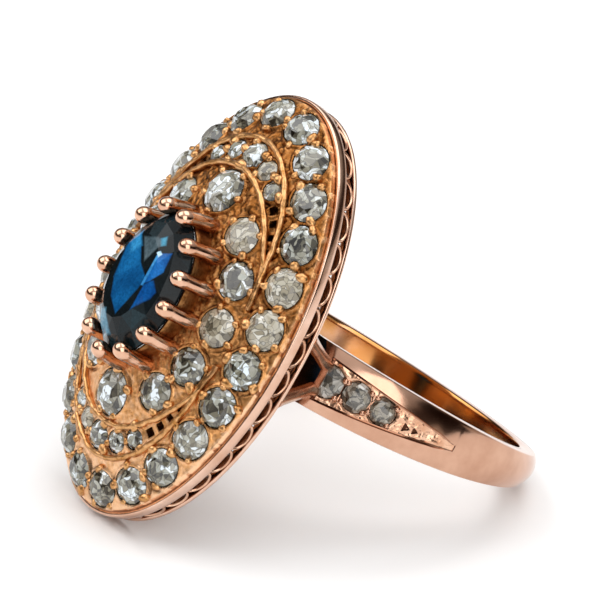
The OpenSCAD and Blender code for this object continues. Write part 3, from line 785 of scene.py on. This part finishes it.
def ridge_tree():
    """A line drawn into a raised wire."""
    tree, sockets, given = new_tree("raised_line", Line="Geometry", Thickness="Float", Finish="Material")
    line = add_node(tree, "GeometryNodeMeshToCurve", {"Mesh": given["Line"]}).outputs["Curve"]
    half = calc(tree, "MULTIPLY", given["Thickness"], 0.5)
    bar = add_node(tree, "GeometryNodeCurvePrimitiveCircle", {"Resolution": 10, "Radius": half}).outputs["Curve"]
    drawn = add_node(tree, "GeometryNodeCurveToMesh", {"Curve": line, "Profile Curve": bar, "Fill Caps": True})
    end_tree(tree, drawn.outputs["Mesh"], given["Finish"])
    return tree, sockets


# Seeded, so that each run draws the same small dents
noise.seed_set(1)


def roughen(piece, scale, height):
    for v in piece.data.vertices:
        v.co += noise.noise_vector(v.co * scale) * height


ridge_t, ridge_steps = 0.3, 121
ridge_turns = np.linspace(-79, 79, ridge_steps)
apart = (end_d / 2 + 0.15) * np.clip(1 - (np.abs(ridge_turns) / 66) ** 1.5, 0, None)
a = np.radians(ridge_turns)
points, joins = [], []
for end in (1, -1):
    for side in (-1, 1):
        p = oval(crescent_half, a) + outwards(crescent_half, a)[:, :2] * (side * apart)[:, None]
        x, y = (p * end).T
        joins += [(len(points) + i, len(points) + i + 1) for i in range(ridge_steps - 1)]
        points += (on_dome(x, y) + dome_out(x, y) * 0.06).tolist()
bright_gold = rose_gold("bright_cut_rose_gold", ("a8743f", "e6b27c"), 0.35, 0.4, (0.22, 0.38))
mesh = made_by(ridge_tree(), plain_mesh("crescent_lines", laid(points), edges=joins),
               {"Thickness": ridge_t / 1000, "Finish": bright_gold})
ridges = add_piece("crescent_ridges", mesh, bright_gold, ["mount"], 60)
roughen(ridges, 2300, 0.00006)

# ---- Setting beads ----------------------------------------------------------
# Small beads of the plate's own metal, raised with a graver and pushed over the
# edge of every stone, in twos and threes where two stones are close.


def bead_shape():
    rows = [(0.55, 0.84), (0.88, 0.45), (1.0, 0.0), (0.95, -0.6)]
    a = np.linspace(0, 2 * np.pi, 8, endpoint=False)
    made = [np.c_[r * np.cos(a), r * np.sin(a), np.full(8, z)] for r, z in rows]
    points = np.vstack([[[0, 0, 1.0]]] + made + [[[0, 0, -0.6]]])
    faces = [[0, 1 + i, 1 + (i + 1) % 8] for i in range(8)]
    faces += [[1 + a for a in face] for face in weave(4, 8)]
    faces += [[len(points) - 1, 25 + (i + 1) % 8, 25 + i] for i in range(8)]
    return points, faces


rng = np.random.default_rng(21)
beads = []
for number, (x, y, d, _) in enumerate(stones):
    centre, n = on_dome(x, y), dome_out(x, y)
    first = np.cross([0, 1, 0], n)
    first /= np.linalg.norm(first)
    second = np.cross(n, first)
    count = 3 if d < 1.5 else 5
    row = math.degrees(math.atan2(y / edge_half[1], x / edge_half[0]))
    for j in range(count):
        a = math.radians(row + 45 + 360 * j / count + rng.uniform(-11, 11))
        reach = d / 2 + rng.uniform(0.07, 0.14)
        p = centre + (first * math.cos(a) + second * math.sin(a)) * reach
        clear = min(np.linalg.norm(p - on_dome(other[0], other[1])) - other[2] / 2
                    for i, other in enumerate(stones) if i != number)
        within = (p[0] / (edge_half[0] - 0.12)) ** 2 + (p[1] / (edge_half[1] - 0.12)) ** 2
        apart = min([np.linalg.norm(p - b[0]) for b in beads] or [9])
        if clear > 0.02 and within < 1 and apart > 0.2:
            p = on_dome(p[0], p[1])
            beads.append((p, dome_out(p[0], p[1]), rng.uniform(0.16, 0.29), rng.uniform(0.7, 1.5)))
places = np.array([b[0] + b[1] * 0.01 for b in beads])
ups = np.array([b[1] for b in beads])
sizes = np.array([[b[2], b[2] * b[3], b[2] * 0.85] for b in beads])
outs = np.cross(ups, rng.normal(size=ups.shape))
head_beads = set_pieces("setting_beads", bead_shape(), places, ups, outs, sizes,
                        bright_gold, ["mount"], 80)
roughen(head_beads, 4200, 0.00007)

shoulder_beads = []
for side in (-1, 1):
    for k, d in enumerate(shoulder_ds):
        for a in (38, 142, 218, 322):
            a = math.radians(a + rng.uniform(-9, 9))
            p = np.array([math.cos(a), math.sin(a), 0]) * (d / 2 + 0.09) + [0, 0, 0.14]
            shoulder_beads.append([on_shoulder(side, shoulder_stone_turn(k), p + [0, 0, up]) for up in (0, 1)])
places, tips = np.array(shoulder_beads).transpose(1, 0, 2)
n = len(places)
set_pieces("shoulder_beads", bead_shape(), places, tips - places, np.tile([0, 1, 0], (n, 1)),
           np.full((n, 3), 0.17), polished_gold, ["mount"], 80)

# ---- Diamonds of the head ---------------------------------------------------
# Old-cut diamonds of the outer row, the inner ring round the sapphire and the
# two crescents, coloured with painted reflections. Some have lost their life:
# their painted reflections are flat, beige and grey.


def old_cut(d):
    r, edge, crown, deep = d / 2, 0.025 * d, 0.2 * d, 0.38 * d
    return cut_solid(ring(8, 0.5 * r, edge + crown), ring(8, 0.76 * r, edge + 0.62 * crown, 0.5),
                     ring(16, r, edge, 0.5), ring(16, r, -edge, 0.5),
                     ring(8, 0.62 * r, -edge - 0.5 * deep), ring(8, 0.1 * r, -edge - deep))


def stone_on_dome(place, seed, dull):
    x, y, d, spin = place
    p, f = old_cut(d)
    rng = np.random.default_rng(seed)
    shift = rng.uniform(-0.14, 0.1)
    tones = [v + shift for v in facet_light(p, f, (rng, seed), 0.75 if dull < 0.5 else 0.25)]
    n = dome_out(x, y)
    turn = (turned("Z", math.degrees(math.atan2(n[1], n[0]))) @ turned("Y", math.degrees(math.acos(n[2])))
            @ turned("Z", spin))
    row, along, across = drawn_out(place)
    p = (p - [0, 0, 0.025 * d]) @ turn.T
    flat = p - np.outer(p @ n, n)
    p = p + (across - 1) * flat + (along - across) * np.outer(flat @ row, row) + on_dome(x, y)
    return p, f, tones, [dull] * len(f)


points, faces, tones, dulls = [], [], [], []
for i, place in enumerate(outer_places):
    p, f, tone, dull = stone_on_dome(place, 100 + i, 0.9 if i in (4, 5, 16) else 0.15 * (i % 3))
    faces += [[v + len(points) for v in face] for face in f]
    points += p.tolist()
    tones += tone
    dulls += dull
mesh = mesh_of("outer_row", points, faces, {"facet": tones, "warm": dulls})
add_piece("outer_row", mesh, diamond, ["outer_diamonds"], 1)
for group, row, dull_ones, seed in (
        ("inner", inner_places, (1, 3, 9), 200), ("crescent", crescent_places, (3, 8), 300)):
    for i, place in enumerate(row):
        p, f, tone, dull = stone_on_dome(place, seed + i, 0.95 if i in dull_ones else 0.1)
        mesh = mesh_of("stone", p, f, {"facet": tone, "warm": dull})
        add_piece(f"{group}_stone_{i + 1}", mesh, diamond, [f"{group}_diamond_{i + 1}"], 1)

# ---- Collet and claws -------------------------------------------------------
# The sapphire stands in an oval collet of thin gold wall. Thirteen claws are
# soldered round it; each is a tapered wire that leans in and ends in a large
# polished ball, pushed over the stone's edge.

girdle_z = dome_top + 0.7
bottom_z, collet_z = dome_top - 1, girdle_z - 0.05
# Painted shade: the collet is near black on its top and outside, less dark down its inside
wall = [(0.0, bottom_z, 0.6), (0.0, collet_z - 0.3, 0.4), (0.0, collet_z - 0.04, 1), (0.03, collet_z, 1),
        (0.08, collet_z, 1), (0.11, collet_z - 0.04, 1), (0.2, collet_z - 0.16, 1), (0.22, collet_z - 0.5, 1),
        (0.46, collet_z - 0.56, 1), (0.46, bottom_z, 1)]
collet = oval_hoop("collet", sapphire_half + 0.1, wall, 180)
add_piece("collet", collet, carved_gold, ["mount"], 40)


def claw_shape(sides=14):
    """One claw: (reach, height) along its middle and its thickness there."""
    line = np.array([
        (0.44, -1.7, 0.42), (0.42, -1.2, 0.4), (0.4, -0.8, 0.385), (0.37, -0.45, 0.375), (0.33, -0.12, 0.375),
        (0.28, 0.12, 0.385), (0.25, 0.27, 0.405), (0.22, 0.42, 0.425), (0.18, 0.58, 0.43), (0.15, 0.73, 0.405),
        (0.12, 0.87, 0.335), (0.1, 0.97, 0.225), (0.09, 1.02, 0.11)])
    way = np.gradient(line[:, :2], axis=0)
    way /= np.linalg.norm(way, axis=1)[:, None]
    t = np.linspace(0, 2 * np.pi, sides, endpoint=False)
    points = np.vstack([np.c_[x + r * np.cos(t) * wz, r * np.sin(t), z - r * np.cos(t) * wx]
                        for (x, z, r), (wx, wz) in zip(line, way)])
    # Painted shade: the claw darkens towards its foot
    return points, capped(len(line), sides), {"cut": np.repeat(np.clip((-line[:, 1] - 0.6) / 1.4, 0, 0.7), sides)}


n = 13
claw_t = even_turns(sapphire_half, n, 0.5)
claw_gold = rose_gold("claw_rose_gold", ("cb9a7e", "e4bba0"), 0.9, 0.1, (0.09, 0.16))
set_pieces("claws", claw_shape(), np.c_[oval(sapphire_half, claw_t), np.full(n, girdle_z)],
           np.tile([0, 0, 1], (n, 1)), outwards(sapphire_half, claw_t), np.ones((n, 3)),
           claw_gold, ["mount"], 70)

# ---- Sapphire ---------------------------------------------------------------
# A deep blue oval sapphire, cut by hand with a broad table, a low crown and a
# stepped pavilion. Light comes back azure in a few places, else navy to teal.

girdle_t, crown_h, pavilion_h = 0.14, 1.05, 1.9


def along_way(tree, place, way):
    """How far a place lies in a direction."""
    return add_node(tree, "ShaderNodeVectorMath", {0: place, 1: way}, operation="DOT_PRODUCT").outputs["Value"]


def patch(tree, place, corners, softness):
    """1 within a convex outline of (across, along) on the stone, and 0 outside it."""
    depth, middle = None, np.mean(corners, axis=0)
    for a, b in zip(corners, corners[1:] + corners[:1]):
        n = np.array([b[1] - a[1], a[0] - b[0]])
        n = n / np.linalg.norm(n)
        n = n if n @ (middle - a) > 0 else -n
        way = (1000 * n[0], 1000 * n[1] * math.sin(lie), 1000 * n[1] * math.cos(lie))
        side = calc(tree, "SUBTRACT", along_way(tree, place, way), float(n @ np.array(a)))
        depth = side if depth is None else calc(tree, "MINIMUM", depth, side)
    return rescale(tree, depth, 0, softness)


def sapphire_finish():
    """Dark teal facets in painted light, with sharp-edged painted azure reflections and a white glint: (outline,
    softness, darker, lighter).
    """
    finish, tree, skin, place = blank_finish("sapphire_blue")
    sway = clouds(tree, place, 900, 2).outputs["Fac"]
    # Painted light: each facet's shade of teal comes from its direction
    colour = add_ramp(tree, read_mark(tree, "facet"), [
        (0.1, "0c1113"), (0.4, "12191c"), (0.6, "172429"), (0.8, "1d3138"), (0.95, "33525d")])
    for corners, softness, low, high in (
            ([(-1.4, 1.2), (-1.0, 2.2), (0.3, 0.75), (0.2, 0.3), (-1.1, -0.6)], 0.12, "0c4a7c", "17649c"),
            ([(0.25, 0.8), (1.05, 0.4), (1.0, -0.25), (0.4, -1.95), (-0.6, -1.35), (-1.1, -0.5)], 0.1,
             "0a4474", "135c94"),
            ([(-1.4, 1.3), (-1.0, 2.2), (-0.2, 1.5), (-0.85, 0.7)], 0.3, "1c6ea6", "3a93c6"),
            ([(-0.6, 1.9), (0.4, 2.3), (1.0, 2.15), (0.6, 1.3), (0.4, 0.85)], 0.12, "33434a", "526269"),
            ([(1.0, 1.65), (1.5, 2.0), (1.75, 1.0), (1.5, 0.35), (1.15, 0.05)], 0.06, "124f92", "1f6cb4"),
            ([(1.15, 0.05), (1.6, 0.5), (1.95, 0.05), (1.85, -0.4), (1.15, -1.4)], 0.08, "0b3f7c", "115496"),
            ([(0.95, 1.55), (1.15, 1.55), (1.2, -0.05), (0.95, -0.1)], 0.06, "2c78b4", "4a96cc"),
            ([(0.45, 2.25), (0.7, 2.55), (1.05, 2.1), (0.85, 1.9)], 0.1, "2c6c88", "4490ae"),
            ([(0.85, 1.6), (1.0, 1.8), (1.2, 1.7), (1.15, 1.45)], 0.05, "9cc8e4", "c4e2f4"),
            ([(-1.2, -2.1), (-0.4, -1.85), (0.4, -2.9), (-0.6, -3.4)], 0.15, "3d6b84", "6e9db4")):
        lit = add_ramp(tree, sway, [(0.35, low), (0.65, high)])
        colour = mix_colours(tree, patch(tree, place, corners, softness), colour, lit)
    grain = rescale(tree, clouds(tree, place, 9000, 3).outputs["Fac"], 0.3, 0.7, 0.75, 1.25)
    feed(tree, skin, {
        "Base Color": mix_colours(tree, 1, colour, grain, "MULTIPLY"),
        "Roughness": 0.1, "IOR": 1.77, "Specular IOR Level": 0.1})
    return finish


half, edge = sapphire_half[1], girdle_t / 2
p, f = cut_solid(*(ring(n, share * half, z, shift, sapphire_half[0] / half) for n, share, z, shift in (
    (16, 0.6, edge + crown_h, 0.5), (16, 0.82, edge + 0.62 * crown_h, 0), (32, 1, edge, 0.5), (32, 1, -edge, 0.5),
    (16, 0.74, -edge - 0.4 * pavilion_h, 0.5), (16, 0.42, -edge - 0.78 * pavilion_h, 0.5),
    (16, 0.1, -edge - pavilion_h, 0.5))))
tones = [0.1 + 0.7 * v for v in facet_light(p, f, (np.random.default_rng(7), 2.2), 0.35)]
mesh = mesh_of("sapphire_stone", p + [0, 0, girdle_z], f, {"facet": tones})
add_piece("sapphire_stone", mesh, sapphire_finish(), ["sapphire"], 1)

# ---- Floor, light and camera ------------------------------------------------
# A plain pale floor under the lying ring, soft studio light from above and both
# sides, and the camera where the photograph's was.

floor_z, reach_out = cad_box[0].z, 2
corners = [(x * reach_out, y * reach_out, floor_z) for x, y in ((-1, -1), (1, -1), (1, 1), (-1, 1))]
mesh = plain_mesh("floor", corners, [(0, 1, 2, 3)])
pale, tree, skin, _ = blank_finish("pale_floor")
feed(tree, skin, {"Base Color": (0.96, 0.96, 0.96, 1), "Roughness": 0.7})
mesh.materials.append(pale)
floor = bpy.data.objects.new("floor", mesh)
bpy.context.scene.collection.objects.link(floor)


def softbox(name, place, size, power):
    """A soft lamp, in metres, that looks at the ring."""
    lamp = bpy.data.lights.new(name, "AREA")
    lamp.shape, lamp.energy = "RECTANGLE", power
    lamp.size, lamp.size_y = size
    made = bpy.data.objects.new(name, lamp)
    made.location = place
    made.rotation_euler = (-Vector(place)).to_track_quat("-Z", "Y").to_euler()
    bpy.context.scene.collection.objects.link(made)


softbox("key", (-0.16, -0.22, 0.3), (0.36, 0.36), 0.8)
softbox("fill", (0.3, -0.12, 0.16), (0.24, 0.3), 0.5)
softbox("top", (0.02, 0.12, 0.36), (0.36, 0.24), 0.6)

world = bpy.data.worlds.new("studio")
bpy.context.scene.world = world
world.use_nodes = True
tree = world.node_tree
sight = add_node(tree, "ShaderNodeTexCoord").outputs["Generated"]
height = add_node(tree, "ShaderNodeSeparateXYZ", {0: sight}).outputs["Z"]
walls = add_ramp(tree, rescale(tree, height, -1, 1), [
    (0.0, "b8b4b0"), (0.48, "d0cac4"), (0.565, "b4aca4"), (0.58, "261b16"), (0.675, "3a2d27"), (0.7, "8c8680"),
    (0.86, "d0d2d4"), (1.0, "ffffff")])
# A long black card stands behind the ring; the polished shank mirrors it
card = 1
for way, at, first, last in (((-0.509, 0.776, 0.372), 0.05, 0.17, 0.13), ((0.88, 0.45, 0.15), -1.0, 0.1, 0.07)):
    off = calc(tree, "ABSOLUTE", calc(tree, "ADD", along_way(tree, sight, way), at))
    card = calc(tree, "MULTIPLY", card, rescale(tree, off, first, last))
studio = mix_colours(tree, card, walls, paint("1c100a"))
feed(tree, tree.nodes["Background"], {"Color": studio, "Strength": 1.0})
bpy.context.scene.view_settings.view_transform = "Standard"

# The photograph is 600 px wide and shows the rim's middle at 199, 305
photo_px, px_per_mm, distance = 600, 21.08, 200
gamma, alpha, rise = math.radians(41), math.radians(6.1), math.radians(60.8)
away = np.array([math.cos(gamma) * math.cos(alpha), math.sin(alpha), math.sin(gamma) * math.cos(alpha)])
long_way = np.array([0, 1, 0]) - away[1] * away
long_way /= np.linalg.norm(long_way)
beside = np.cross(long_way, away)
right = math.cos(rise) * long_way + math.sin(rise) * beside
above = math.sin(rise) * long_way - math.cos(rise) * beside
middle = photo_px / 2
eye = np.array([0, 0, rim_z]) + ((middle - 199) * right + (305 - middle) * above) / px_per_mm + distance * away
lens = bpy.data.cameras.new("camera")
lens.sensor_width = 36
lens.lens = lens.sensor_width * distance * px_per_mm / photo_px
lens.clip_start, lens.clip_end = 0.01, 20
view = np.eye(4)
view[:3, :3], view[:3, 3] = laid([right, above, away]).T * 1000, laid(eye)[0]
camera = bpy.data.objects.new("camera", lens)
camera.matrix_world = Matrix(view.tolist())
bpy.context.scene.collection.objects.link(camera)
bpy.context.scene.camera = camera
